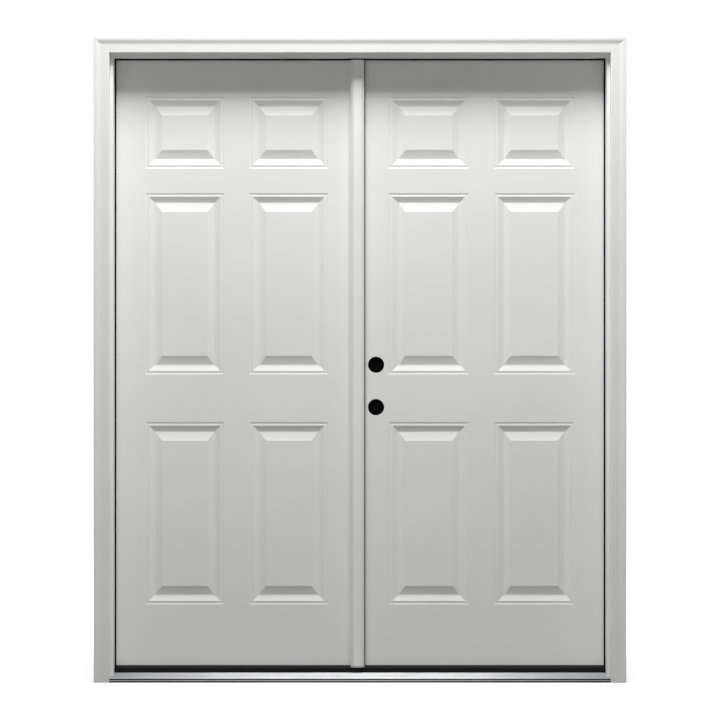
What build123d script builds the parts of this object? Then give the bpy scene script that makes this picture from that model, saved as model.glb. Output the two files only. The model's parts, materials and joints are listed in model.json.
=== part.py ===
"""Prehung double entry door: two six-panel steel leaves in a rabbeted wood frame with brickmould and sill.

Millimetres. The outside of the house is towards -Y, the room towards +Y and up is +Z. The origin is
on the sill's underside, midway between the jambs, in the plane of the jambs' outside edge.
"""
import os

from build123d import *

os.makedirs("parts", exist_ok=True)

# Frame: rabbeted jambs around both leaves
frame_width = 1676.4
frame_height = 2076.45
jamb_depth = 115.9
jamb_thickness = 30.2
rabbet_step = 12.7
stop_width = 62.0
kerf_width = 3.0
kerf_depth = 10.0
kerf_inset = 5.0
sill_fit = 0.3

# Brickmould: outer fillet, shallow ogee, field and rounded inner edge
brickmould_width = 50.8
brickmould_thickness = 31.75
brickmould_overlap = 19.05
brickmould_fillet = 6.5
brickmould_ogee = 17.0
brickmould_ogee_drop = 3.6
brickmould_crown = 5.0
brickmould_crown_drop = 0.9
brickmould_outer_round = 1.5
brickmould_inner_round = 3.5

# Weatherstrip: foam bulb with a barbed fin in the kerf
weatherstrip_show = 5.0
weatherstrip_round = 3.0
weatherstrip_fit = 0.35
fin_thickness = 2.2
fin_length = 9.0

# Sill: extruded deck over a composite base, with a cap in a channel under the leaves
sill_nose = 28.0
sill_lip_height = 13.4
sill_rise = 12.4
sill_wall = 2.0
sill_lip_thickness = 9.0
cap_channel_start = 50.0
cap_channel_wall_height = 7.2
cap_height = 14.2
cap_overhang = 2.5
cap_side_fit = 0.4
cap_flange_thickness = 6.0
cap_round = 2.0
lip_groove_height = 4.2
lip_groove_depth = 7.0
lip_groove_inset = 1.0
tread_groove_width = 2.0
tread_groove_depth = 0.6
tread_groove_pitch = 9.0
tread_groove_count = 6
nose_round = 0.6

# Leaves
slab_thickness = 44.45
interior_setback = 0.8
hinge_gap = 3.2
head_gap = 3.05
threshold_gap = 8.5
active_width = 825.0
skin_thickness = 0.6
skin_margin = 5.0
stile_width = 30.0
rail_width = 38.0
lock_block_width = 68.0
lock_block_height = 300.0

# Panel layout on each leaf
hinge_margin = 109.5
lock_margin = 101.5
meeting_margin = 79.1
mullion = 82.0
bottom_margin = 199.1
bottom_panel = 602.4
lock_rail = 155.9
frieze_rail = 80.0
top_panel = 237.8
top_margin = 133.6

# Pressed moulding round each panel
step_run = 6.0
step_drop = 1.55
bead_run = 6.0
bead_rise = 0.95
slope_run = 12.5
slope_drop = 4.7
cove_run = 8.5
cove_drop = 1.8
rail_bevel = 29.0
stile_bevel = 22.0
bevel_half_rise = 2.9
core_relief = 0.5

# Lock preparation in the active leaf
bore_diameter = 53.975
bore_spacing = 139.7
backset = 60.3
latch_height = 850.2
edge_bore_diameter = 25.4
faceplate_width = 25.4
faceplate_height = 57.2
faceplate_depth = 2.5

# Hinges: three on each leaf
hinge_height = 101.6
hinge_leaf_depth = 32.0
hinge_leaf_thickness = 2.3
hinge_corner = 15.9
hinge_top_margin = 178.0
hinge_bottom_margin = 279.0
knuckle_diameter = 12.7
knuckle_count = 5
knuckle_gap = 0.4
knuckle_clearance = 0.5
pin_diameter = 7.0
pin_fit = 0.05
pin_head_diameter = 11.0
pin_head_height = 4.0
pin_tip = 2.0
mortise_fit = 0.2

# Astragal on the inactive leaf, with the flush bolts in its web
meeting_gap = 4.8
astragal_cover_inactive = 4.9
astragal_cover_active = 21.6
astragal_projection = 34.0
astragal_bevel = 9.5
astragal_wall = 2.2
astragal_seal_space = 8.75
astragal_seal_show = 3.0
astragal_seal_width = 14.0
astragal_head_gap = 0.65
end_pad_height = 5.0
bolt_width = 8.0
bolt_depth = 14.0
bolt_fit = 0.4
bolt_length = 200.0
bolt_throw = 18.0
bolt_retreat = 2.0
thumb_length = 25.0
thumb_width = 10.0
thumb_recess = 0.2
thumb_margin = 10.0
bolt_chamfer = 2.0
strike_length = 40.0
strike_width = 25.0
strike_thickness = 1.6
strike_fit = 1.0

# Door sweep and corner pads
sweep_thickness = 2.5
sweep_clearance = 0.6
sweep_fin_thickness = 2.0
sweep_fin_count = 4
sweep_inset = 4.0
corner_pad_thickness = 2.4
corner_pad_width = 24.0
corner_pad_height = 50.0

# Places that follow from the dimensions above
half_frame = frame_width / 2
stop_x = half_frame - jamb_thickness
rabbet_x = stop_x + rabbet_step
stop_z = frame_height - jamb_thickness
rabbet_z = stop_z + rabbet_step
brickmould_inner_x = half_frame - brickmould_overlap
brickmould_outer_x = brickmould_inner_x + brickmould_width
brickmould_top = frame_height - brickmould_overlap + brickmould_width

deck_top = sill_lip_height + sill_rise
channel_floor = deck_top
cap_top = channel_floor + cap_height
channel_end = jamb_depth

slab_back = jamb_depth - interior_setback
slab_front = slab_back - slab_thickness
slab_middle = (slab_front + slab_back) / 2
slab_bottom = cap_top + threshold_gap
slab_top = rabbet_z - head_gap
slab_height = slab_top - slab_bottom
hinge_edge = rabbet_x - hinge_gap
active_edge = hinge_edge - active_width
web_right = active_edge - meeting_gap
web_left = web_right - bolt_width - 2 * bolt_fit - 2 * astragal_wall
inactive_edge = web_left
web_middle = (web_left + web_right) / 2
strike_depth = bolt_throw - bolt_retreat - head_gap + strike_fit

bore_x = active_edge + backset
bore_heights = (slab_bottom + latch_height, slab_bottom + latch_height + bore_spacing)

pin_x = rabbet_x - hinge_gap / 2
pin_y = jamb_depth + knuckle_diameter / 2 + knuckle_clearance
hinge_heights = (
    slab_bottom + hinge_bottom_margin + hinge_height / 2,
    (slab_bottom + hinge_bottom_margin + slab_top - hinge_top_margin) / 2,
    slab_top - hinge_top_margin - hinge_height / 2,
)
hinge_places = ("lower", "middle", "upper")

moulding_run = step_run + bead_run + slope_run + cove_run
crest_depth = step_drop - bead_rise
valley_depth = crest_depth + slope_drop + cove_drop

face_plane = Plane.XZ.offset(-slab_front)
middle_plane = Plane.XZ.offset(-slab_middle)


def save(piece, name):
    """Label a finished piece and write it."""
    piece.part.label = name
    export_step(piece.part, f"parts/{name}.step")


def mirrored(piece, plane):
    """The same piece for the other side of a plane."""
    with BuildPart() as other:
        mirror(piece.part, about=plane)
    return other


def block(plane, u_range, v_range):
    """Rectangle on a plane, given by its limits."""
    with BuildSketch(plane) as outline:
        with Locations(((u_range[0] + u_range[1]) / 2, (v_range[0] + v_range[1]) / 2)):
            Rectangle(u_range[1] - u_range[0], v_range[1] - v_range[0])
    return outline.sketch


def around(centre, width, fit=0.0):
    """Limits of a width about its centre, with a clearance on each side."""
    return (centre - width / 2 - fit, centre + width / 2 + fit)


# Wood frame


def jamb_outline(fit=0.0):
    """Plan of the right jamb: stop outside, rabbet towards the room."""
    with BuildSketch(Plane.XY) as outline:
        with BuildLine():
            Polyline(
                (half_frame, -fit),
                (half_frame, jamb_depth + fit),
                (rabbet_x - fit, jamb_depth + fit),
                (rabbet_x - fit, stop_width + fit),
                (stop_x - fit, stop_width + fit),
                (stop_x - fit, -fit),
                close=True,
            )
        make_face()
    return outline.sketch


def head_outline():
    """Section of the head jamb at its left end."""
    with BuildSketch(Plane.YZ.offset(-half_frame)) as outline:
        with BuildLine():
            Polyline(
                (0, frame_height),
                (jamb_depth, frame_height),
                (jamb_depth, rabbet_z),
                (stop_width, rabbet_z),
                (stop_width, stop_z),
                (0, stop_z),
                close=True,
            )
        make_face()
    return outline.sketch


def hinge_outline(plane, height, fit=0.0):
    """Hinge leaf seen along X: square at the knuckles, rounded at the two far corners."""
    far_edge = slab_back - hinge_leaf_depth - fit
    with BuildSketch(plane) as outline:
        with Locations(((jamb_depth + far_edge) / 2, height)):
            Rectangle(jamb_depth - far_edge, hinge_height + 2 * fit)
        fillet(outline.vertices().group_by(Axis.X)[0], hinge_corner)
    return outline.sketch


with BuildPart() as jamb_right:
    extrude(jamb_outline(), amount=frame_height)
    extrude(head_outline(), amount=frame_width, mode=Mode.SUBTRACT)
    kerf_x = (stop_x + kerf_inset, stop_x + kerf_inset + kerf_width)
    kerf_y = (stop_width - kerf_depth, stop_width)
    extrude(block(Plane.XY, kerf_x, kerf_y), amount=frame_height, mode=Mode.SUBTRACT)
    for hinge_z in hinge_heights:
        mortise = hinge_outline(Plane.YZ.offset(rabbet_x), hinge_z, mortise_fit)
        extrude(mortise, amount=hinge_leaf_thickness, mode=Mode.SUBTRACT)
save(jamb_right, "jamb_right")
jamb_left = mirrored(jamb_right, Plane.YZ)
save(jamb_left, "jamb_left")

strike_x = around(web_middle, strike_width)
strike_y = around(slab_middle, strike_length)
strike_hole_x = around(web_middle, bolt_width, strike_fit)
strike_hole_y = around(slab_middle, bolt_depth, strike_fit)

with BuildPart() as jamb_head:
    extrude(head_outline(), amount=frame_width)
    kerf_z = (stop_z + kerf_inset, stop_z + kerf_inset + kerf_width)
    kerf = block(Plane.YZ.offset(-rabbet_x), kerf_y, kerf_z)
    extrude(kerf, amount=2 * rabbet_x, mode=Mode.SUBTRACT)
    rabbet_face = Plane.XY.offset(rabbet_z)
    extrude(block(rabbet_face, strike_x, strike_y), amount=strike_thickness, mode=Mode.SUBTRACT)
    extrude(block(rabbet_face, strike_hole_x, strike_hole_y), amount=strike_depth, mode=Mode.SUBTRACT)
save(jamb_head, "jamb_head")

with BuildPart() as head_strike:
    extrude(block(rabbet_face, strike_x, strike_y), amount=strike_thickness)
    extrude(block(rabbet_face, strike_hole_x, strike_hole_y), amount=strike_thickness, mode=Mode.SUBTRACT)
save(head_strike, "head_strike")


def brickmould_outline(plane):
    """Brickmould section: u runs inwards from the outer edge, v out from the jamb's edge."""
    crown_end = (brickmould_fillet + brickmould_crown, brickmould_thickness - brickmould_crown_drop)
    ogee_end = brickmould_fillet + brickmould_ogee
    field = brickmould_thickness - brickmould_ogee_drop
    round_start = brickmould_width - brickmould_inner_round
    round_end = field - brickmould_inner_round
    with BuildSketch(plane) as outline:
        with BuildLine():
            Polyline(
                (brickmould_width, round_end),
                (brickmould_width, 0),
                (0, 0),
                (0, brickmould_thickness),
                (brickmould_fillet, brickmould_thickness),
            )
            crown = TangentArc((brickmould_fillet, brickmould_thickness), crown_end, tangent=(1, 0))
            TangentArc(crown_end, (ogee_end, field), tangent=crown % 1)
            Line((ogee_end, field), (round_start, field))
            TangentArc((round_start, field), (brickmould_width, round_end), tangent=(1, 0))
        make_face()
        outer_edge = outline.vertices().group_by(Axis.X)[0].sort_by(Axis.Y)[-1]
        fillet(outer_edge, brickmould_outer_round)
    return outline.sketch


mitre_right = Plane(origin=(brickmould_outer_x, 0, brickmould_top), z_dir=(1, 0, -1))
mitre_left = Plane(origin=(-brickmould_outer_x, 0, brickmould_top), z_dir=(-1, 0, -1))

with BuildPart() as brickmould_right:
    leg_section = Plane(origin=(brickmould_outer_x, 0, 0), x_dir=(-1, 0, 0), z_dir=(0, 0, 1))
    extrude(brickmould_outline(leg_section), amount=brickmould_top)
    split(bisect_by=mitre_right, keep=Keep.TOP)
save(brickmould_right, "brickmould_right")
brickmould_left = mirrored(brickmould_right, Plane.YZ)
save(brickmould_left, "brickmould_left")

with BuildPart() as brickmould_head:
    head_section = Plane(
        origin=(brickmould_outer_x, 0, brickmould_top), x_dir=(0, 0, -1), z_dir=(-1, 0, 0)
    )
    extrude(brickmould_outline(head_section), amount=2 * brickmould_outer_x)
    split(bisect_by=mitre_right, keep=Keep.BOTTOM)
    split(bisect_by=mitre_left, keep=Keep.BOTTOM)
save(brickmould_head, "brickmould_head")


# Weatherstrip in the kerfs of the stops


def weatherstrip_outline(plane):
    """Foam bulb and fin: u runs from the stop's face into the frame, v from the rabbet towards the room."""
    bulb_depth = slab_front - stop_width - weatherstrip_fit
    fin_middle = kerf_inset + kerf_width / 2
    with BuildSketch(plane) as outline:
        with Locations(((rabbet_step - weatherstrip_fit - weatherstrip_show) / 2, bulb_depth / 2)):
            Rectangle(rabbet_step - weatherstrip_fit + weatherstrip_show, bulb_depth)
        fillet(outline.vertices(), weatherstrip_round)
        with Locations((fin_middle, (weatherstrip_round - fin_length) / 2)):
            Rectangle(fin_thickness, fin_length + weatherstrip_round)
    return outline.sketch


head_bulb_bottom = stop_z - weatherstrip_show

with BuildPart() as weatherstrip_right:
    leg_foot = (stop_x, stop_width, cap_top + weatherstrip_fit)
    leg_section = Plane(origin=leg_foot, x_dir=(1, 0, 0), z_dir=(0, 0, 1))
    leg_length = head_bulb_bottom - cap_top - 2 * weatherstrip_fit
    extrude(weatherstrip_outline(leg_section), amount=leg_length)
save(weatherstrip_right, "weatherstrip_right")
weatherstrip_left = mirrored(weatherstrip_right, Plane.YZ)
save(weatherstrip_left, "weatherstrip_left")

with BuildPart() as weatherstrip_head:
    reach = rabbet_x - weatherstrip_fit
    head_section = Plane(origin=(reach, stop_width, stop_z), x_dir=(0, 0, 1), z_dir=(-1, 0, 0))
    extrude(weatherstrip_outline(head_section), amount=2 * reach)
save(weatherstrip_head, "weatherstrip_head")


# Sill


deck_slope = sill_rise / (sill_nose + cap_channel_start)
sill_reach = brickmould_inner_x - sill_fit
sill_section = Plane.YZ.offset(-sill_reach)
channel_in = (cap_channel_start + sill_wall, channel_end - sill_wall)
channel_wall_top = channel_floor + cap_channel_wall_height
lip_back = sill_lip_thickness - sill_nose
lip_back_top = sill_lip_height + deck_slope * sill_lip_thickness - sill_wall

with BuildPart() as sill_base:
    with BuildSketch(sill_section):
        with BuildLine():
            Polyline(
                (lip_back, 0),
                (lip_back, lip_back_top),
                (cap_channel_start, deck_top - sill_wall),
                (channel_end - sill_wall, channel_floor - sill_wall),
                (channel_end - sill_wall, 0),
                close=True,
            )
        make_face()
    extrude(amount=2 * sill_reach)
    jamb_cut = extrude(jamb_outline(sill_fit), amount=frame_height, mode=Mode.PRIVATE)
    add(jamb_cut, mode=Mode.SUBTRACT)
    mirror(jamb_cut, about=Plane.YZ, mode=Mode.SUBTRACT)
save(sill_base, "sill_base")

with BuildPart() as sill_deck:
    with BuildSketch(sill_section) as deck_profile:
        with BuildLine():
            Polyline(
                (-sill_nose, 0),
                (-sill_nose, sill_lip_height),
                (cap_channel_start, deck_top),
                (cap_channel_start, channel_wall_top),
                (channel_in[0], channel_wall_top),
                (channel_in[0], channel_floor),
                (channel_in[1], channel_floor),
                (channel_in[1], channel_wall_top),
                (channel_end, channel_wall_top),
                (channel_end, 0),
                (channel_end - sill_wall, 0),
                (channel_end - sill_wall, channel_floor - sill_wall),
                (cap_channel_start, deck_top - sill_wall),
                (lip_back, lip_back_top),
                (lip_back, 0),
                close=True,
            )
        make_face()
        nose = deck_profile.vertices().group_by(Axis.X)[0].sort_by(Axis.Y)[-1]
        fillet(nose, nose_round)
    extrude(amount=2 * sill_reach)
    groove_middle = lip_groove_inset + lip_groove_height / 2
    with BuildSketch(sill_section):
        with Locations((-sill_nose, groove_middle), (-sill_nose, sill_lip_height - groove_middle)):
            Rectangle(2 * lip_groove_depth, lip_groove_height)
    extrude(amount=2 * sill_reach, mode=Mode.SUBTRACT)
    tread_start = (cap_channel_start - sill_nose) / 2 - (tread_groove_count - 1) / 2 * tread_groove_pitch
    with BuildSketch(sill_section):
        for tread in range(tread_groove_count):
            tread_y = tread_start + tread * tread_groove_pitch
            tread_z = sill_lip_height + deck_slope * (tread_y + sill_nose)
            with Locations((tread_y, tread_z)):
                Rectangle(tread_groove_width, 2 * tread_groove_depth)
    extrude(amount=2 * sill_reach, mode=Mode.SUBTRACT)
    add(jamb_cut, mode=Mode.SUBTRACT)
    mirror(jamb_cut, about=Plane.YZ, mode=Mode.SUBTRACT)
save(sill_deck, "sill_deck")

with BuildPart() as sill_cap:
    cap_reach = rabbet_x - sill_fit
    with BuildSketch(Plane.YZ.offset(-cap_reach)) as cap_profile:
        with Locations(((channel_in[0] + channel_in[1]) / 2, channel_floor + cap_height / 2)):
            Rectangle(channel_in[1] - channel_in[0] - 2 * cap_side_fit, cap_height)
        cap_y = (cap_channel_start - cap_overhang, channel_end + cap_overhang)
        with Locations(((cap_y[0] + cap_y[1]) / 2, cap_top - cap_flange_thickness / 2)):
            Rectangle(cap_y[1] - cap_y[0], cap_flange_thickness)
        skirt = (cap_overhang - cap_side_fit, cap_height - cap_side_fit)
        with Locations((cap_y[0] + skirt[0] / 2, cap_top - skirt[1] / 2)):
            Rectangle(skirt[0], skirt[1])
        fillet(cap_profile.vertices().group_by(Axis.Y)[-1], cap_round)
    extrude(amount=2 * cap_reach)
    add(jamb_cut, mode=Mode.SUBTRACT)
    mirror(jamb_cut, about=Plane.YZ, mode=Mode.SUBTRACT)
    cap_face = Plane.XY.offset(cap_top)
    extrude(block(cap_face, strike_x, strike_y), amount=-strike_thickness, mode=Mode.SUBTRACT)
    extrude(block(cap_face, strike_hole_x, strike_hole_y), amount=-cap_height, mode=Mode.SUBTRACT)
save(sill_cap, "sill_cap")

with BuildPart() as sill_strike:
    extrude(block(cap_face, strike_x, strike_y), amount=-strike_thickness)
    extrude(block(cap_face, strike_hole_x, strike_hole_y), amount=-strike_thickness, mode=Mode.SUBTRACT)
save(sill_strike, "sill_strike")

with BuildPart() as corner_pad_right:
    pad_y = (slab_front, slab_front + corner_pad_width)
    pad_x = (rabbet_x - corner_pad_thickness, rabbet_x)
    extrude(block(Plane.XY.offset(cap_top), pad_x, pad_y), amount=corner_pad_height)
save(corner_pad_right, "corner_pad_right")
corner_pad_left = mirrored(corner_pad_right, Plane.YZ)
save(corner_pad_left, "corner_pad_left")


# Leaves: pressed steel skins over wood stiles and rails and a foam core


def panel_rows():
    """Low and high edges of the three rows of panels, from the bottom."""
    bottom_low = slab_bottom + bottom_margin
    middle_low = bottom_low + bottom_panel + lock_rail
    top_low = slab_top - top_margin - top_panel
    return (
        (bottom_low, bottom_low + bottom_panel),
        (middle_low, top_low - frieze_rail),
        (top_low, top_low + top_panel),
    )


def panel_layout(left, right, left_margin, right_margin):
    """The six panels of a leaf, each as its left, right, low and high edges."""
    width = (right - left - left_margin - right_margin - mullion) / 2
    columns = (left + left_margin, left + left_margin + width + mullion)
    return [(start, start + width, low, high) for start in columns for low, high in panel_rows()]


def moulding_section(panel, top, drop):
    """Section of the pressed moulding on a panel's left side: u runs into the panel, v into the leaf."""
    left, right, low, high = panel
    place = Plane(origin=(left, slab_front, (low + high) / 2), x_dir=(1, 0, 0), z_dir=(0, 0, 1))
    step_end = (step_run, step_drop + drop)
    crest = (step_run + bead_run, crest_depth + drop)
    slope_end = (crest[0] + slope_run, crest[1] + slope_drop)
    valley = (moulding_run, valley_depth + drop)
    with BuildSketch(place) as section:
        with BuildLine():
            Polyline(valley, (moulding_run, top), (0, top), (0, drop), step_end, crest, slope_end)
            TangentArc(slope_end, valley, tangent=(slope_run, slope_drop))
        make_face()
    return section.sketch


def panel_path(panel):
    """Way round a panel's outer edge, from the middle of its left side upwards."""
    left, right, low, high = panel
    middle = (low + high) / 2
    with BuildLine(face_plane) as path:
        Polyline((left, middle), (left, high), (right, high), (right, low), (left, low), (left, middle))
    return path.wires()[0]


def inside_panel(panel, depth, bevel_share):
    """Rectangle inside a panel's moulding, in by a share of the bevel, at a depth in the leaf."""
    left, right, low, high = panel
    inset_x = moulding_run + bevel_share * stile_bevel
    inset_z = moulding_run + bevel_share * rail_bevel
    return block(face_plane.offset(-depth), (left + inset_x, right - inset_x), (low + inset_z, high - inset_z))


def pressing(panel, top, drop):
    """Hollow of one panel from a level near the face to its pressed surface, set back by a drop."""
    floor = valley_depth + drop
    with BuildPart() as hollow:
        sweep(moulding_section(panel, top, drop), path=panel_path(panel), transition=Transition.RIGHT)
        foot = inside_panel(panel, floor, 0)
        halfway = inside_panel(panel, floor - bevel_half_rise, 0.5)
        field = inside_panel(panel, drop, 1)
        extrude(foot, amount=floor - top)
        loft([foot, halfway, field], mode=Mode.SUBTRACT)
        extrude(field, amount=drop - top, mode=Mode.SUBTRACT)
    return hollow.part


def exterior_skin(left, right, panels):
    """Outside skin of a leaf, with the six panels pressed into it."""
    with BuildPart() as skin:
        sheet = block(face_plane, (left + skin_margin, right - skin_margin), (slab_bottom, slab_top))
        extrude(sheet, amount=-skin_thickness)
        for panel in panels:
            add(pressing(panel, skin_thickness / 2, skin_thickness))
            add(pressing(panel, -skin_thickness, 0), mode=Mode.SUBTRACT)
    return skin


def foam_core(left, right, panels):
    """Core between the stiles and rails, relieved behind the moulding on both faces."""
    inner_plane = face_plane.offset(-skin_thickness)
    core_x = (left + stile_width, right - stile_width)
    core_z = (slab_bottom + rail_width, slab_top - rail_width)
    with BuildPart() as core:
        extrude(block(inner_plane, core_x, core_z), amount=2 * skin_thickness - slab_thickness)
        with BuildSketch(inner_plane) as relief:
            for x_low, x_high, z_low, z_high in panels:
                width = x_high - x_low + 2 * core_relief
                height = z_high - z_low + 2 * core_relief
                island_width = width - 2 * (moulding_run + stile_bevel + 2 * core_relief)
                island_height = height - 2 * (moulding_run + rail_bevel + 2 * core_relief)
                with Locations(((x_low + x_high) / 2, (z_low + z_high) / 2)):
                    Rectangle(width, height)
                    Rectangle(island_width, island_height, mode=Mode.SUBTRACT)
        pockets = extrude(relief.sketch, amount=-valley_depth - core_relief, mode=Mode.PRIVATE)
        add(pockets, mode=Mode.SUBTRACT)
        mirror(pockets, about=middle_plane, mode=Mode.SUBTRACT)
    return core


def stile(edge, inwards):
    """Full-height edge of a leaf, with a lip at each face where the skins stop."""
    lip = edge + inwards * skin_margin
    inner = edge + inwards * stile_width
    with BuildPart() as piece:
        with BuildSketch(Plane.XY.offset(slab_bottom)):
            with BuildLine():
                Polyline(
                    (edge, slab_front),
                    (lip, slab_front),
                    (lip, slab_front + skin_thickness),
                    (inner, slab_front + skin_thickness),
                    (inner, slab_back - skin_thickness),
                    (lip, slab_back - skin_thickness),
                    (lip, slab_back),
                    (edge, slab_back),
                    close=True,
                )
            make_face()
        extrude(amount=slab_height)
    return piece


def rail(left, right, low):
    """Cross piece between the stiles, between the skins."""
    rail_y = (slab_front + skin_thickness, slab_back - skin_thickness)
    with BuildPart() as piece:
        plan = block(Plane.XY.offset(low), (left + stile_width, right - stile_width), rail_y)
        extrude(plan, amount=rail_width)
    return piece


def sweep_strip(left, right):
    """Finned strip under a leaf, just clear of the sill cap."""
    fin_height = threshold_gap - sweep_thickness - sweep_clearance
    strip_y = (slab_front + sweep_inset, slab_back - sweep_inset)
    fin_pitch = (strip_y[1] - strip_y[0] - sweep_fin_thickness) / (sweep_fin_count - 1)
    with BuildPart() as strip:
        with BuildSketch(Plane.YZ.offset(left)):
            with Locations(((strip_y[0] + strip_y[1]) / 2, slab_bottom - sweep_thickness / 2)):
                Rectangle(strip_y[1] - strip_y[0], sweep_thickness)
            for fin in range(sweep_fin_count):
                fin_y = strip_y[0] + sweep_fin_thickness / 2 + fin * fin_pitch
                with Locations((fin_y, slab_bottom - sweep_thickness - fin_height / 2)):
                    Rectangle(sweep_fin_thickness, fin_height)
        extrude(amount=right - left)
    return strip


active_panels = panel_layout(active_edge, hinge_edge, lock_margin, hinge_margin)
inactive_panels = panel_layout(-hinge_edge, inactive_edge, hinge_margin, meeting_margin)

with BuildSketch(face_plane) as lock_bores:
    with Locations([(bore_x, bore_z) for bore_z in bore_heights]):
        Circle(bore_diameter / 2)

# Active leaf

active_skin = exterior_skin(active_edge, hinge_edge, active_panels)
with BuildPart() as active_exterior_skin:
    add(active_skin.part)
    extrude(lock_bores.sketch, amount=-slab_thickness, mode=Mode.SUBTRACT)
save(active_exterior_skin, "active_exterior_skin")
active_interior_skin = mirrored(active_exterior_skin, middle_plane)
save(active_interior_skin, "active_interior_skin")

lock_block_x = (active_edge + stile_width, active_edge + stile_width + lock_block_width)
lock_block_z = around(sum(bore_heights) / 2, lock_block_height)
lock_block_plan = block(face_plane.offset(-skin_thickness), lock_block_x, lock_block_z)
core_thickness = slab_thickness - 2 * skin_thickness

with BuildPart() as active_core:
    add(foam_core(active_edge, hinge_edge, active_panels).part)
    extrude(lock_block_plan, amount=-core_thickness, mode=Mode.SUBTRACT)
save(active_core, "active_core")

with BuildSketch(Plane.YZ.offset(active_edge)) as edge_bores:
    with Locations([(slab_middle, bore_z) for bore_z in bore_heights]):
        Circle(edge_bore_diameter / 2)

with BuildPart() as active_lock_block:
    extrude(lock_block_plan, amount=-core_thickness)
    extrude(lock_bores.sketch, amount=-slab_thickness, mode=Mode.SUBTRACT)
    extrude(edge_bores.sketch, amount=backset, mode=Mode.SUBTRACT)
save(active_lock_block, "active_lock_block")

with BuildPart() as active_lock_stile:
    add(stile(active_edge, 1).part)
    extrude(edge_bores.sketch, amount=stile_width, mode=Mode.SUBTRACT)
    with BuildSketch(Plane.YZ.offset(active_edge)):
        with Locations([(slab_middle, bore_z) for bore_z in bore_heights]):
            Rectangle(faceplate_width, faceplate_height)
    extrude(amount=faceplate_depth, mode=Mode.SUBTRACT)
save(active_lock_stile, "active_lock_stile")

with BuildPart() as active_hinge_stile:
    add(stile(hinge_edge, -1).part)
    for hinge_z in hinge_heights:
        mortise = hinge_outline(Plane.YZ.offset(hinge_edge), hinge_z, mortise_fit)
        extrude(mortise, amount=-hinge_leaf_thickness, mode=Mode.SUBTRACT)
save(active_hinge_stile, "active_hinge_stile")

active_top_rail = rail(active_edge, hinge_edge, slab_top - rail_width)
save(active_top_rail, "active_top_rail")
active_bottom_rail = rail(active_edge, hinge_edge, slab_bottom)
save(active_bottom_rail, "active_bottom_rail")
active_sweep = sweep_strip(active_edge + sweep_inset, hinge_edge - sweep_inset)
save(active_sweep, "active_sweep")

# Inactive leaf

inactive_exterior_skin = exterior_skin(-hinge_edge, inactive_edge, inactive_panels)
save(inactive_exterior_skin, "inactive_exterior_skin")
inactive_interior_skin = mirrored(inactive_exterior_skin, middle_plane)
save(inactive_interior_skin, "inactive_interior_skin")
inactive_core = foam_core(-hinge_edge, inactive_edge, inactive_panels)
save(inactive_core, "inactive_core")
inactive_hinge_stile = mirrored(active_hinge_stile, Plane.YZ)
save(inactive_hinge_stile, "inactive_hinge_stile")
inactive_meeting_stile = stile(inactive_edge, -1)
save(inactive_meeting_stile, "inactive_meeting_stile")
inactive_top_rail = rail(-hinge_edge, inactive_edge, slab_top - rail_width)
save(inactive_top_rail, "inactive_top_rail")
inactive_bottom_rail = rail(-hinge_edge, inactive_edge, slab_bottom)
save(inactive_bottom_rail, "inactive_bottom_rail")
inactive_sweep = sweep_strip(sweep_inset - hinge_edge, inactive_edge)
save(inactive_sweep, "inactive_sweep")


# Hinges: jamb leaf, slab leaf and pin, three times on each side

knuckle_length = (hinge_height - (knuckle_count - 1) * knuckle_gap) / knuckle_count


def hinge_leaf(face_x, thickness, height, first_knuckle):
    """Mortised leaf with every second knuckle of the barrel; thickness is signed along X."""
    with BuildPart() as leaf:
        extrude(hinge_outline(Plane.YZ.offset(face_x), height), amount=thickness)
        for knuckle in range(first_knuckle, knuckle_count, 2):
            low = height - hinge_height / 2 + knuckle * (knuckle_length + knuckle_gap)
            with BuildSketch(Plane.XY.offset(low)):
                with Locations((pin_x, pin_y)):
                    Circle(knuckle_diameter / 2)
                with Locations((face_x + thickness / 2, (jamb_depth + pin_y) / 2)):
                    Rectangle(abs(thickness), pin_y - jamb_depth)
                with Locations((pin_x, pin_y)):
                    Circle(pin_diameter / 2 + pin_fit, mode=Mode.SUBTRACT)
            extrude(amount=knuckle_length)
    return leaf


def hinge_pin(height):
    """Loose pin with a domed head on the top knuckle."""
    with BuildPart() as pin:
        with BuildSketch(Plane.XY.offset(height - hinge_height / 2 - pin_tip)):
            with Locations((pin_x, pin_y)):
                Circle(pin_diameter / 2)
        extrude(amount=hinge_height + pin_tip)
        with BuildSketch(Plane.XY.offset(height + hinge_height / 2)):
            with Locations((pin_x, pin_y)):
                Circle(pin_head_diameter / 2)
        extrude(amount=pin_head_height)
        fillet(pin.edges().group_by(Axis.Z)[-1], pin_head_height / 2)
    return pin


for place, hinge_z in zip(hinge_places, hinge_heights):
    jamb_leaf = hinge_leaf(rabbet_x, hinge_leaf_thickness, hinge_z, 0)
    slab_leaf = hinge_leaf(hinge_edge, -hinge_leaf_thickness, hinge_z, 1)
    pin = hinge_pin(hinge_z)
    save(jamb_leaf, f"active_hinge_jamb_leaf_{place}")
    save(slab_leaf, f"active_hinge_slab_leaf_{place}")
    save(pin, f"active_hinge_pin_{place}")
    save(mirrored(jamb_leaf, Plane.YZ), f"inactive_hinge_jamb_leaf_{place}")
    save(mirrored(slab_leaf, Plane.YZ), f"inactive_hinge_slab_leaf_{place}")
    save(mirrored(pin, Plane.YZ), f"inactive_hinge_pin_{place}")


# Astragal, its seal and end pad, and the flush bolts

flange_left = inactive_edge - astragal_cover_inactive
flange_right = active_edge + astragal_cover_active
flange_front = slab_front - astragal_projection
flange_back = slab_front - astragal_seal_space
flange_top = head_bulb_bottom - astragal_head_gap
bolt_way_x = around(web_middle, bolt_width, bolt_fit)
bolt_way_y = around(slab_middle, bolt_depth, bolt_fit)


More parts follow.
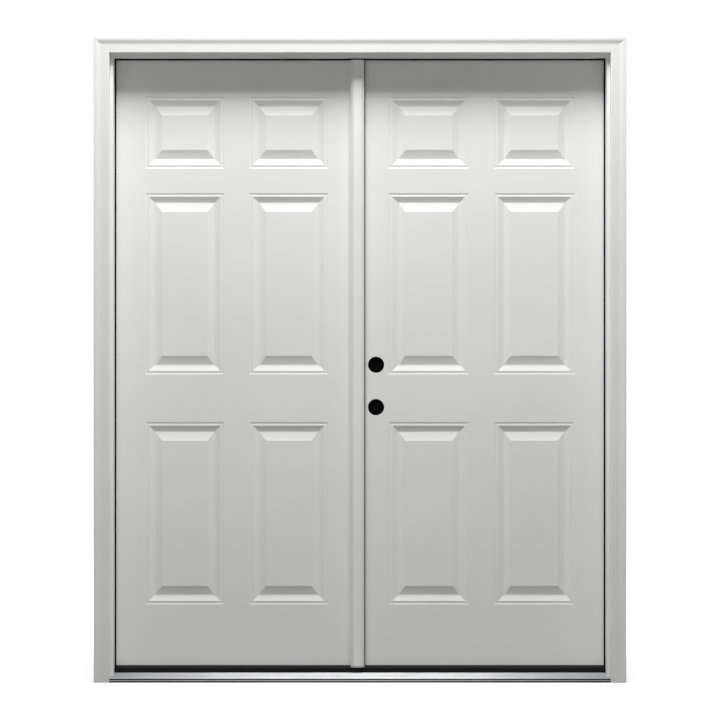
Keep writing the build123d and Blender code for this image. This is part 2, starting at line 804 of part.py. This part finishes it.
def astragal_outline(level):
    """Plan of the T: bevelled cover strip outside, web on the inactive leaf's edge."""
    with BuildSketch(Plane.XY.offset(level)) as outline:
        with BuildLine():
            Polyline(
                (flange_left, slab_front),
                (flange_left, flange_front + astragal_bevel),
                (flange_left + astragal_bevel, flange_front),
                (flange_right - astragal_bevel, flange_front),
                (flange_right, flange_front + astragal_bevel),
                (flange_right, flange_back),
                (web_right, flange_back),
                (web_right, slab_back),
                (web_left, slab_back),
                (web_left, slab_front),
                close=True,
            )
        make_face()
    return outline.sketch


def bolt_body(low, thumb_low):
    """Sliding bar with its thumb piece showing in the web's edge."""
    with BuildPart() as bolt:
        plan = block(Plane.XY.offset(low), around(web_middle, bolt_width), around(slab_middle, bolt_depth))
        extrude(plan, amount=bolt_length)
        chamfer(bolt.edges().filter_by(Axis.Y), bolt_chamfer)
        thumb_x = (web_middle, web_right - thumb_recess)
        thumb = block(Plane.XY.offset(thumb_low), thumb_x, around(slab_middle, thumb_width))
        extrude(thumb, amount=thumb_length)
    return bolt


top_bolt_low = slab_top - bolt_retreat - bolt_length
top_thumb_low = top_bolt_low + thumb_margin
bottom_bolt_low = slab_bottom + bolt_retreat
bottom_thumb_low = bottom_bolt_low + bolt_length - thumb_margin - thumb_length

with BuildPart() as astragal:
    extrude(astragal_outline(slab_bottom), amount=slab_height)
    with BuildSketch(Plane.XY.offset(slab_bottom)):
        with BuildLine():
            Polyline(
                (flange_left, flange_back),
                (flange_left, flange_front + astragal_bevel),
                (flange_left + astragal_bevel, flange_front),
                (flange_right - astragal_bevel, flange_front),
                (flange_right, flange_front + astragal_bevel),
                (flange_right, flange_back),
                close=True,
            )
        make_face()
        offset(amount=-astragal_wall, mode=Mode.REPLACE)
    extrude(amount=slab_height, mode=Mode.SUBTRACT)
    front_cavity = (flange_back, bolt_way_y[0] - astragal_wall)
    back_cavity = (bolt_way_y[1] + astragal_wall, slab_back - astragal_wall)
    for cavity_y in (front_cavity, bolt_way_y, back_cavity):
        cavity = block(Plane.XY.offset(slab_bottom), bolt_way_x, cavity_y)
        extrude(cavity, amount=slab_height, mode=Mode.SUBTRACT)
    notch_y = (flange_front - astragal_wall, slab_front + weatherstrip_fit)
    notch_x = (flange_left - astragal_wall, flange_right + astragal_wall)
    extrude(block(Plane.XY.offset(flange_top), notch_x, notch_y), amount=slab_height, mode=Mode.SUBTRACT)
    for slot_low in (top_thumb_low, bottom_thumb_low - bolt_throw):
        slot_z = (slot_low - bolt_fit, slot_low + thumb_length + bolt_throw + bolt_fit)
        slot = block(Plane.YZ.offset(web_middle), around(slab_middle, thumb_width, bolt_fit), slot_z)
        extrude(slot, amount=web_right - web_middle, mode=Mode.SUBTRACT)
save(astragal, "astragal")

with BuildPart() as astragal_seal:
    seal_x = (flange_right + astragal_seal_show - astragal_seal_width, flange_right + astragal_seal_show)
    with BuildSketch(Plane.XY.offset(slab_bottom)) as seal_plan:
        seal_depth = astragal_seal_space - weatherstrip_fit
        with Locations(((seal_x[0] + seal_x[1]) / 2, flange_back + seal_depth / 2)):
            Rectangle(astragal_seal_width, seal_depth)
        fillet(seal_plan.vertices().group_by(Axis.Y)[-1], weatherstrip_round)
    extrude(amount=flange_top - slab_bottom)
save(astragal_seal, "astragal_seal")

with BuildPart() as astragal_end_pad:
    extrude(astragal_outline(slab_bottom), amount=-end_pad_height)
    bolt_way = block(Plane.XY.offset(slab_bottom), bolt_way_x, bolt_way_y)
    extrude(bolt_way, amount=-end_pad_height, mode=Mode.SUBTRACT)
save(astragal_end_pad, "astragal_end_pad")

flush_bolt_top = bolt_body(top_bolt_low, top_thumb_low)
save(flush_bolt_top, "flush_bolt_top")
flush_bolt_bottom = bolt_body(bottom_bolt_low, bottom_thumb_low)
save(flush_bolt_bottom, "flush_bolt_bottom")
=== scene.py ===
"""Finish, small fittings, light and camera for the prehung double entry door.

Metres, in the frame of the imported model: outside is -Y, the room is +Y, up is +Z.
"""
import json
import math

import bpy
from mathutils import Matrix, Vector


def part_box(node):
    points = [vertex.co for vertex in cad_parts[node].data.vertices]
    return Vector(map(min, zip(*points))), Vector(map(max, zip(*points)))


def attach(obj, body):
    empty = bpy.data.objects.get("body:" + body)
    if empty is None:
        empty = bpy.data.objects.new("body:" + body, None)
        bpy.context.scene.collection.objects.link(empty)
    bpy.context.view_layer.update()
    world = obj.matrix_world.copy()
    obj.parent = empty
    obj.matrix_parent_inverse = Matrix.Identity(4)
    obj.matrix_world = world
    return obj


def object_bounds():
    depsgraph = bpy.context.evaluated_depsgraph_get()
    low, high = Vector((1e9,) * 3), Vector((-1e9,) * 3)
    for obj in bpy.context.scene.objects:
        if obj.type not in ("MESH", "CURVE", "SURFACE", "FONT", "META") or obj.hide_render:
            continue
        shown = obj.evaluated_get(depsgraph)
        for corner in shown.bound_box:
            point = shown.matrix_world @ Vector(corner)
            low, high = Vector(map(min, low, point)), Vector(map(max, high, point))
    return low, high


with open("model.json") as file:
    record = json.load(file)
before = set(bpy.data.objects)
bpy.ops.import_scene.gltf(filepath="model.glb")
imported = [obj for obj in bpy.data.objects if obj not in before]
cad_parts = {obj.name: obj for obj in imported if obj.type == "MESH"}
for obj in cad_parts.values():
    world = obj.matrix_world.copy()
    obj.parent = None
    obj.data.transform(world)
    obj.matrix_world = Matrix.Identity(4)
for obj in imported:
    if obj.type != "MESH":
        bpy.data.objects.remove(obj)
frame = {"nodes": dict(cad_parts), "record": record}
cad_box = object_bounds()

MM = 0.001
WHITE = (1.0, 1.0, 1.0, 1.0)
nodes = frame["nodes"]
mounts = {mount["name"]: mount for mount in frame["record"]["mounts"]}
scene = bpy.context.scene
scene.view_settings.view_transform = "Standard"


# Colour, nodes and patterns

# Most of a noise lies between these two levels
NOISE_LOW = 0.3
NOISE_HIGH = 0.7


def linear(hex_colour):
    """Linear RGBA of an sRGB hex value."""
    channels = [int(hex_colour[i:i + 2], 16) / 255 for i in (0, 2, 4)]
    return [c / 12.92 if c <= 0.04045 else ((c + 0.055) / 1.055) ** 2.4 for c in channels] + [1.0]


def add_node(tree, kind, links=None, values=None, **settings):
    """Add a node with its settings, its input values and the sockets that feed it."""
    node = tree.nodes.new(kind)
    for name, value in settings.items():
        setattr(node, name, value)
    for socket, value in (values or {}).items():
        node.inputs[socket].default_value = value
    for socket, source in (links or {}).items():
        tree.links.new(source, node.inputs[socket])
    return node


def new_material(name):
    """Empty material with a principled shader wired to its output, and its object coordinates."""
    material = bpy.data.materials.new(name)
    material.use_nodes = True
    tree = material.node_tree
    tree.nodes.clear()
    shader = add_node(tree, "ShaderNodeBsdfPrincipled")
    add_node(tree, "ShaderNodeOutputMaterial", {"Surface": shader.outputs["BSDF"]})
    place = add_node(tree, "ShaderNodeTexCoord").outputs["Object"]
    return material, tree, shader, place


def grain(tree, place, size, detail):
    """Noise whose cells measure size, in millimetres along X, Y and Z."""
    scale = [1 / (length * MM) for length in size]
    stretched = add_node(tree, "ShaderNodeMapping", {"Vector": place}, {"Scale": scale})
    return add_node(
        tree, "ShaderNodeTexNoise", {"Vector": stretched.outputs["Vector"]}, {"Scale": 1.0, "Detail": detail}
    ).outputs["Fac"]


def coat(tree, shader, tint, tones, texture, roughness=None, depth_mm=None, strength=1.0):
    """Colour from one noise, between a dark and a light tone, and sheen and relief from another."""
    ramp = add_node(tree, "ShaderNodeValToRGB", {"Fac": tint})
    dark, light = ramp.color_ramp.elements
    dark.position = NOISE_LOW
    light.position = NOISE_HIGH
    dark.color, light.color = [linear(tone) for tone in tones]
    colour = ramp.outputs["Color"]
    tree.links.new(colour, shader.inputs["Base Color"])
    if roughness:
        smooth, rough = roughness
        sheen = add_node(
            tree,
            "ShaderNodeMapRange",
            {"Value": texture},
            {"From Min": NOISE_LOW, "From Max": NOISE_HIGH, "To Min": smooth, "To Max": rough},
        )
        tree.links.new(sheen.outputs["Result"], shader.inputs["Roughness"])
    if depth_mm:
        bump = add_node(
            tree, "ShaderNodeBump", {"Height": texture}, {"Strength": strength, "Distance": depth_mm * MM}
        )
        tree.links.new(bump.outputs["Normal"], shader.inputs["Normal"])
    return colour


# Finishes

# Painted shade in the sill lip's grooves: how far behind the lip's front it starts, and how high it reaches
GROOVE_SHADE_START = 0.3 * MM
GROOVE_SHADE_TOP = 12.6 * MM


def primed_steel():
    """Factory primer on pressed steel sheet: an even white with a soft sheen."""
    material, tree, shader, place = new_material("primed_steel")
    cloud = grain(tree, place, (420, 420, 420), 2.0)
    # Orange peel of about 1 mm is too fine to show, so it is drawn at 2.4 mm
    peel = grain(tree, place, (2.4, 2.4, 2.4), 2.0)
    tones = ("EDEDEC", "F1F1F0")
    coat(tree, shader, cloud, tones, peel, roughness=(0.50, 0.58), depth_mm=0.05, strength=0.35)
    shader.inputs["Specular IOR Level"].default_value = 0.3
    return material


def primed_wood(name, along):
    """White primer on jointed pine: the grain comes through as faint lines along the piece."""
    material, tree, shader, place = new_material(name)
    cloud = grain(tree, place, (300, 300, 300), 2.0)
    # Grain lines of about 1 mm are too fine to show, so they are drawn at 2.2 mm
    line_size = [2.2, 2.2, 2.2]
    line_size[along] = 160
    lines = grain(tree, place, line_size, 4.0)
    tones = ("E6E6E5", "EBEBEA")
    coat(tree, shader, cloud, tones, lines, roughness=(0.44, 0.54), depth_mm=0.12, strength=0.3)
    return material


def astragal_paint():
    """Baked white paint on an aluminium extrusion: smooth, with faint draw lines along its length."""
    material, tree, shader, place = new_material("astragal_paint")
    cloud = grain(tree, place, (250, 250, 250), 2.0)
    # Draw lines of a few tenths of a millimetre are too fine to show, so they are drawn at 1.6 mm
    draw_lines = grain(tree, place, (1.6, 1.6, 400), 2.0)
    tones = ("EFEFEE", "F2F2F1")
    coat(tree, shader, cloud, tones, draw_lines, roughness=(0.34, 0.42), depth_mm=0.03, strength=0.3)
    return material


def mill_aluminium():
    """Mill-finish extruded aluminium: highlights streaked across it, and painted shade in the lip's grooves.
    """
    material, tree, shader, place = new_material("mill_aluminium")
    marks = grain(tree, place, (120, 30, 30), 4.0)
    # Die lines of a few tenths of a millimetre are too fine to show, so they are drawn at 0.8 mm
    die_lines = grain(tree, place, (350, 0.8, 0.8), 3.0)
    tones = ("909192", "9C9D9E")
    unshaded_metal = coat(tree, shader, marks, tones, die_lines, roughness=(0.40, 0.50), depth_mm=0.03, strength=0.4)
    across = add_node(tree, "ShaderNodeTangent", direction_type="RADIAL", axis="X")
    tree.links.new(across.outputs["Tangent"], shader.inputs["Tangent"])
    shader.inputs["Metallic"].default_value = 1.0
    shader.inputs["Anisotropic"].default_value = 1.0
    lip_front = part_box("sill_deck")[0][1]
    part = add_node(tree, "ShaderNodeSeparateXYZ", {"Vector": place}).outputs
    # Painted shade: the lip's grooves, behind its front face and below the deck's top, are coloured near
    # black
    behind_lip = add_node(
        tree, "ShaderNodeMath", {0: part["Y"]}, {1: lip_front + GROOVE_SHADE_START}, operation="GREATER_THAN"
    ).outputs["Value"]
    under_deck = add_node(
        tree, "ShaderNodeMath", {0: part["Z"]}, {1: GROOVE_SHADE_TOP}, operation="LESS_THAN"
    ).outputs["Value"]
    groove = add_node(
        tree, "ShaderNodeMath", {0: behind_lip, 1: under_deck}, operation="MULTIPLY"
    ).outputs["Value"]
    groove_shaded = add_node(
        tree, "ShaderNodeMix", {"Factor": groove, "A": unshaded_metal}, {"B": linear("0C0C0C")}, data_type="RGBA"
    )
    tree.links.new(groove_shaded.outputs["Result"], shader.inputs["Base Color"])
    return material


def black_foam():
    """Urethane foam in a thin black film: matt, with wrinkles 1.4 mm apart."""
    material, tree, shader, place = new_material("black_foam")
    wrinkle = grain(tree, place, (1.4, 1.4, 1.4), 4.0)
    tones = ("020202", "070707")
    coat(tree, shader, wrinkle, tones, wrinkle, roughness=(0.75, 0.9), depth_mm=0.25, strength=0.5)
    shader.inputs["Specular IOR Level"].default_value = 0.05
    return material


def sweep_vinyl():
    """Extruded flexible vinyl: near black and satin, with lines along its length."""
    material, tree, shader, place = new_material("sweep_vinyl")
    # Die lines of a few tenths of a millimetre are too fine to show, so they are drawn at 1 mm
    lines = grain(tree, place, (220, 1.0, 1.0), 3.0)
    tones = ("1C1C1C", "282828")
    coat(tree, shader, lines, tones, lines, roughness=(0.42, 0.55), depth_mm=0.05, strength=0.4)
    return material


def cap_composite():
    """Moulded composite of the sill cap: near black, with a wood-like emboss of 2 mm along its length."""
    material, tree, shader, place = new_material("cap_composite")
    emboss = grain(tree, place, (90, 2.0, 2.0), 5.0)
    tones = ("050505", "0C0C0C")
    coat(tree, shader, emboss, tones, emboss, roughness=(0.6, 0.8), depth_mm=0.2, strength=0.5)
    shader.inputs["Specular IOR Level"].default_value = 0.15
    return material


def sill_composite():
    """Pressed composite under the deck: mid grey, dull, with flakes up to 9 mm long."""
    material, tree, shader, place = new_material("sill_composite")
    flake = grain(tree, place, (9, 6, 6), 5.0)
    coat(tree, shader, flake, ("5C5A57", "7B7874"), flake, depth_mm=0.3, strength=0.5)
    shader.inputs["Roughness"].default_value = 0.8
    return material


def laminated_pine():
    """Bare laminated pine of the leaf's edges: veneers of 3.2 mm, each with its grain along the height."""
    material, tree, shader, place = new_material("laminated_pine")
    veneer = grain(tree, place, (400, 3.2, 400), 0.0)
    # Fibres of about half a millimetre are too fine to show, so they are drawn at 1.2 mm
    fibre = grain(tree, place, (1.2, 1.2, 45), 4.0)
    both = add_node(tree, "ShaderNodeMath", {0: veneer, 1: fibre}, operation="ADD").outputs["Value"]
    mean = add_node(tree, "ShaderNodeMath", {0: both}, {1: 0.5}, operation="MULTIPLY").outputs["Value"]
    tones = ("B08E64", "D8BE97")
    coat(tree, shader, mean, tones, fibre, roughness=(0.55, 0.72), depth_mm=0.15, strength=0.5)
    return material


def urethane_core():
    """Foamed urethane: cream, open and dull."""
    material, tree, shader, place = new_material("urethane_core")
    # Cells of a few tenths of a millimetre are too fine to show, so they are drawn at 1.5 mm
    cells = grain(tree, place, (1.5, 1.5, 1.5), 5.0)
    coat(tree, shader, cells, ("CFC08F", "E4D8AE"), cells, depth_mm=0.4, strength=0.6)
    shader.inputs["Roughness"].default_value = 0.9
    return material


def pad_foam():
    """Closed-cell foam of the astragal's end pad: light grey and dull."""
    material, tree, shader, place = new_material("pad_foam")
    # Cells of a few tenths of a millimetre are too fine to show, so they are drawn at 1.2 mm
    cells = grain(tree, place, (1.2, 1.2, 1.2), 5.0)
    coat(tree, shader, cells, ("BFBFBB", "D2D2CE"), cells, depth_mm=0.25, strength=0.5)
    shader.inputs["Roughness"].default_value = 0.85
    return material


def satin_nickel():
    """Brushed nickel plate on steel: warm grey, brushed up and down."""
    material, tree, shader, place = new_material("satin_nickel")
    # Brush marks of a few hundredths of a millimetre are too fine to show, so they are drawn at 0.5 mm
    brushing = grain(tree, place, (0.5, 0.5, 14), 3.0)
    tones = ("A8A298", "C2BDB3")
    coat(tree, shader, brushing, tones, brushing, roughness=(0.26, 0.38), depth_mm=0.02, strength=0.4)
    shader.inputs["Metallic"].default_value = 1.0
    return material


def zinc_plate():
    """Clear zinc plate on steel: cool grey with soft blotches of 7 mm."""
    material, tree, shader, place = new_material("zinc_plate")
    blotch = grain(tree, place, (7, 7, 7), 4.0)
    coat(tree, shader, blotch, ("B9BCBF", "CDD0D2"), blotch, roughness=(0.26, 0.4))
    shader.inputs["Metallic"].default_value = 1.0
    return material


ALONG_HEAD = 0
ALONG_LEGS = 2
leg_wood = primed_wood("primed_wood_legs", ALONG_LEGS)
head_wood = primed_wood("primed_wood_head", ALONG_HEAD)
nickel = satin_nickel()
zinc = zinc_plate()
foam = black_foam()
finishes = {
    "primed_steel": primed_steel(),
    "primed_wood": leg_wood,
    "stile_wood": laminated_pine(),
    "foam_core": urethane_core(),
    "foam_seal": foam,
    "sweep_vinyl": sweep_vinyl(),
    "astragal_paint": astragal_paint(),
    "end_pad": pad_foam(),
    "sill_aluminium": mill_aluminium(),
    "sill_composite": sill_composite(),
    "cap_composite": cap_composite(),
    "hinge_steel": nickel,
    "strike_steel": zinc,
    "bolt_steel": zinc,
}
for subpart in frame["record"]["subparts"]:
    node = nodes[subpart["node"]]
    finish = finishes[subpart["material_slot"]]
    if subpart["node"] in ("jamb_head", "brickmould_head"):
        finish = head_wood
    node.data.materials.clear()
    node.data.materials.append(finish)


# Small fittings: near-black discs in the lock bores, painted shade for the dark inside them, and the hinges'
# screws

# Painted shade: near-black discs set in the lock bores, where only the dark inside them shows
SHADE_DISC_FIT = 0.3 * MM
SHADE_DISC_THICKNESS = 5.0 * MM
SHADE_DISC_RECESS = 9.0 * MM
SHADE_DISC_ROUND = 0.8 * MM
HEAD_RADIUS = 4.6 * MM
HEAD_HEIGHT = 0.9 * MM
HEAD_SUNK = 0.4 * MM
RECESS_LENGTH = 5.6 * MM
RECESS_WIDTH = 1.1 * MM
# Gap between a leaf's edge and its jamb, where the hinges are
HINGE_GAP = 3.2 * MM
# Screws of one hinge leaf: in from the jamb's edge, and above or below the hinge's middle
SCREW_PLACES = (
    (7.5 * MM, 38.0 * MM),
    (19.0 * MM, 14.0 * MM),
    (19.0 * MM, -14.0 * MM),
    (7.5 * MM, -38.0 * MM),
)
SHARP_EDGE = math.radians(35)
QUARTER_TURN = math.radians(90)


def choose(piece):
    """Select one piece alone and make it active."""
    bpy.ops.object.select_all(action="DESELECT")
    piece.select_set(True)
    bpy.context.view_layer.objects.active = piece


def settle(piece):
    """Put a piece's place and turn into its mesh."""
    choose(piece)
    bpy.ops.object.transform_apply(location=True, rotation=True, scale=True)


def copy_to(template, place, turn=0.0):
    """Copy of a piece with its own mesh, set at a place and turned about Z."""
    copy = template.copy()
    copy.data = template.data.copy()
    scene.collection.objects.link(copy)
    copy.location = place
    copy.rotation_euler = (0, 0, turn)
    return copy


def finish_piece(piece, name, body, material):
    """Name a modelled piece, give it its finish and set it on its body."""
    settle(piece)
    piece.name = name
    piece.data.name = name
    piece.data.materials.clear()
    piece.data.materials.append(material)
    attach(piece, body)


def bore_shade_disc(radius):
    """Thin disc round the Y axis, with both rims rounded, that stands in for the shade inside a bore."""
    bpy.ops.object.select_all(action="DESELECT")
    bpy.ops.mesh.primitive_cylinder_add(
        vertices=64, radius=radius, depth=SHADE_DISC_THICKNESS, rotation=(QUARTER_TURN, 0, 0)
    )
    shade_disc = bpy.context.object
    settle(shade_disc)
    bpy.ops.object.mode_set(mode="EDIT")
    bpy.ops.mesh.select_mode(type="EDGE")
    bpy.ops.mesh.select_all(action="DESELECT")
    bpy.ops.object.mode_set(mode="OBJECT")
    points = shade_disc.data.vertices
    for edge in shade_disc.data.edges:
        first, second = (points[index].co.y for index in edge.vertices)
        # An edge of a rim has both its ends on one face of the disc
        edge.select = first * second > 0
    bpy.ops.object.mode_set(mode="EDIT")
    bpy.ops.mesh.bevel(offset=SHADE_DISC_ROUND, segments=3, affect="EDGES")
    bpy.ops.object.mode_set(mode="OBJECT")
    bpy.ops.object.shade_smooth_by_angle(angle=SHARP_EDGE)
    return shade_disc


def fit_bore_shade_discs():
    """A near-black disc in each lock bore, a little way in from the outside face, as painted shade for the
    dark inside it.
    """
    slab_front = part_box("active_exterior_skin")[0][1]
    depth = slab_front + SHADE_DISC_RECESS + SHADE_DISC_THICKNESS / 2
    shade_disc = bore_shade_disc(mounts["latch_bore"]["dims"]["r_mm"] * MM - SHADE_DISC_FIT)
    for bore in ("latch_bore", "deadbolt_bore"):
        x, _, z = mounts[bore]["pos_m"]
        # Each disc is painted shade, in the black foam finish, set on the active leaf
        finish_piece(copy_to(shade_disc, (x, depth, z)), bore + "_shade_disc", "active_leaf", foam)
    bpy.data.objects.remove(shade_disc)


def screw_head():
    """Flat screw head with a cross recess, at the origin with its face towards +X."""
    bpy.ops.object.select_all(action="DESELECT")
    bpy.ops.mesh.primitive_cylinder_add(
        vertices=32, radius=HEAD_RADIUS, depth=HEAD_HEIGHT, rotation=(0, QUARTER_TURN, 0)
    )
    head = bpy.context.object
    settle(head)
    for size in ((HEAD_HEIGHT, RECESS_LENGTH, RECESS_WIDTH), (HEAD_HEIGHT, RECESS_WIDTH, RECESS_LENGTH)):
        bpy.ops.object.select_all(action="DESELECT")
        bpy.ops.mesh.primitive_cube_add(size=1.0, location=(HEAD_HEIGHT / 2, 0, 0), scale=size)
        cutter = bpy.context.object
        choose(head)
        cut = head.modifiers.new("recess", "BOOLEAN")
        cut.operation = "DIFFERENCE"
        cut.object = cutter
        bpy.ops.object.modifier_apply(modifier=cut.name)
        bpy.data.objects.remove(cutter)
    return head


def hinge_screws(head, hinge_leaf, body, face_x, facing, back, middle):
    """Four screw heads in the face of one hinge leaf, joined to one piece."""
    out = face_x + facing * (HEAD_HEIGHT / 2 - HEAD_SUNK)
    turn = 0.0 if facing > 0 else math.pi
    heads = [copy_to(head, (out, back - inset, middle + rise), turn) for inset, rise in SCREW_PLACES]
    choose(heads[0])
    for copy in heads:
        copy.select_set(True)
    bpy.ops.object.join()
    finish_piece(heads[0], "screws_" + hinge_leaf, body, nickel)


def fit_hinge_screws():
    """Screws in both leaves of all six hinges."""
    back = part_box("jamb_right")[1][1]
    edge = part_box("active_hinge_stile")[1][0]
    head = screw_head()
    for side, sign in (("active", 1), ("inactive", -1)):
        for level in ("lower", "middle", "upper"):
            jamb_leaf = side + "_hinge_jamb_leaf_" + level
            slab_leaf = side + "_hinge_slab_leaf_" + level
            low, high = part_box(jamb_leaf)
            middle = (low[2] + high[2]) / 2
            hinge_screws(head, jamb_leaf, "frame", sign * (edge + HINGE_GAP), -sign, back, middle)
            hinge_screws(head, slab_leaf, side + "_leaf", sign * edge, sign, back, middle)
    bpy.data.objects.remove(head)


fit_bore_shade_discs()
fit_hinge_screws()


# Floor, light and camera

# The picture's side, and its scale at the plane of the unit's front
PIXELS = 720
MM_PER_PIXEL = 3.2660
CAMERA_DISTANCE = 11.0
SENSOR_MM = 36.0
WORLD_LEVEL = 0.2
FLOOR_SIZE = 60.0
# The floor lies just under the sill, so that no two faces share a plane
FLOOR_DROP = 0.5 * MM
# The floor's glow is weak near the door, where the shadow falls, and strong from GLOW_END outwards
GLOW_START = 2.0
GLOW_END = 7.0
NEAR_GLOW = 0.2
FAR_GLOW = 0.86


def seen_rays(tree):
    """One for the rays that see the background: straight, in a reflection or through something clear."""
    path = add_node(tree, "ShaderNodeLightPath").outputs
    straight = add_node(
        tree, "ShaderNodeMath", {0: path["Is Camera Ray"], 1: path["Is Glossy Ray"]}, operation="MAXIMUM"
    ).outputs["Value"]
    return add_node(
        tree, "ShaderNodeMath", {0: straight, 1: path["Is Transmission Ray"]}, operation="MAXIMUM"
    ).outputs["Value"]


def studio_world():
    """Even grey light all round, seen as white."""
    world = bpy.data.worlds.new("studio")
    scene.world = world
    world.use_nodes = True
    tree = world.node_tree
    tree.nodes.clear()
    light = add_node(tree, "ShaderNodeBackground", None, {"Color": WHITE, "Strength": WORLD_LEVEL})
    backdrop = add_node(tree, "ShaderNodeBackground", None, {"Color": WHITE, "Strength": 1.0})
    mixed = add_node(
        tree,
        "ShaderNodeMixShader",
        {0: seen_rays(tree), 1: light.outputs["Background"], 2: backdrop.outputs["Background"]},
    )
    add_node(tree, "ShaderNodeOutputWorld", {"Surface": mixed.outputs["Shader"]})


def pale_floor():
    """Paper that is seen lifted to white with the door's shadow left on it, and throws little light back."""
    material = bpy.data.materials.new("pale_floor")
    material.use_nodes = True
    tree = material.node_tree
    tree.nodes.clear()
    dull = add_node(tree, "ShaderNodeBsdfDiffuse", None, {"Color": linear("606060")})
    paper = add_node(tree, "ShaderNodeBsdfDiffuse", None, {"Color": linear("F0F0F0")})
    place = add_node(tree, "ShaderNodeTexCoord").outputs["Object"]
    reach = add_node(tree, "ShaderNodeVectorMath", {0: place}, operation="LENGTH").outputs["Value"]
    lift = add_node(
        tree,
        "ShaderNodeMapRange",
        {"Value": reach},
        {"From Min": GLOW_START, "From Max": GLOW_END, "To Min": NEAR_GLOW, "To Max": FAR_GLOW},
        interpolation_type="SMOOTHSTEP",
    )
    glow = add_node(tree, "ShaderNodeEmission", {"Strength": lift.outputs["Result"]}, {"Color": WHITE})
    white = add_node(tree, "ShaderNodeAddShader", {0: paper.outputs["BSDF"], 1: glow.outputs["Emission"]})
    mixed = add_node(
        tree, "ShaderNodeMixShader", {0: seen_rays(tree), 1: dull.outputs["BSDF"], 2: white.outputs["Shader"]}
    )
    add_node(tree, "ShaderNodeOutputMaterial", {"Surface": mixed.outputs["Shader"]})
    return material


def studio_floor():
    """Wide floor that carries the door's shadow."""
    bpy.ops.object.select_all(action="DESELECT")
    bpy.ops.mesh.primitive_plane_add(size=FLOOR_SIZE, location=(0, 0, -FLOOR_DROP))
    floor = bpy.context.object
    floor.name = "floor"
    floor.data.materials.append(pale_floor())


def softbox(name, place, target, size, power):
    """Rectangular lamp aimed at a point."""
    lamp = bpy.data.lights.new(name, "AREA")
    lamp.shape = "RECTANGLE"
    lamp.size, lamp.size_y = size
    lamp.energy = power
    holder = bpy.data.objects.new(name, lamp)
    scene.collection.objects.link(holder)
    holder.location = place
    aim = Vector(target) - Vector(place)
    holder.rotation_euler = aim.to_track_quat("-Z", "Y").to_euler()
    holder.visible_camera = False


def studio_lights():
    """Key over the head for the shadow under it, bounce from the ground, and lamps for the room side."""
    softbox("key", place=(0, -1.53, 4.82), target=(0, 0.07, 1.6), size=(1.6, 1.35), power=190)
    softbox("bounce", place=(0, -2.9, 0.02), target=(0, -2.4, 1.0), size=(8.0, 2.6), power=62)
    softbox("back", place=(0, 4.5, 3.2), target=(0, 0.1, 1.0), size=(3.0, 2.0), power=130)
    for name, sign in (("left", -1), ("right", 1)):
        softbox(name, place=(sign * 5.0, 1.4, 2.4), target=(0, 0.6, 1.0), size=(2.0, 2.0), power=110)


def front_camera():
    """Square on to the outside of the door, from far enough to be nearly parallel."""
    camera = bpy.data.cameras.new("front")
    holder = bpy.data.objects.new("front", camera)
    scene.collection.objects.link(holder)
    face = cad_box[0][1]
    middle = (cad_box[0][2] + cad_box[1][2]) / 2
    holder.location = (0, face - CAMERA_DISTANCE, middle)
    holder.rotation_euler = (QUARTER_TURN, 0, 0)
    camera.sensor_width = SENSOR_MM
    camera.lens = SENSOR_MM * CAMERA_DISTANCE / (PIXELS * MM_PER_PIXEL * MM)
    scene.camera = holder


studio_world()
studio_floor()
studio_lights()
front_camera()
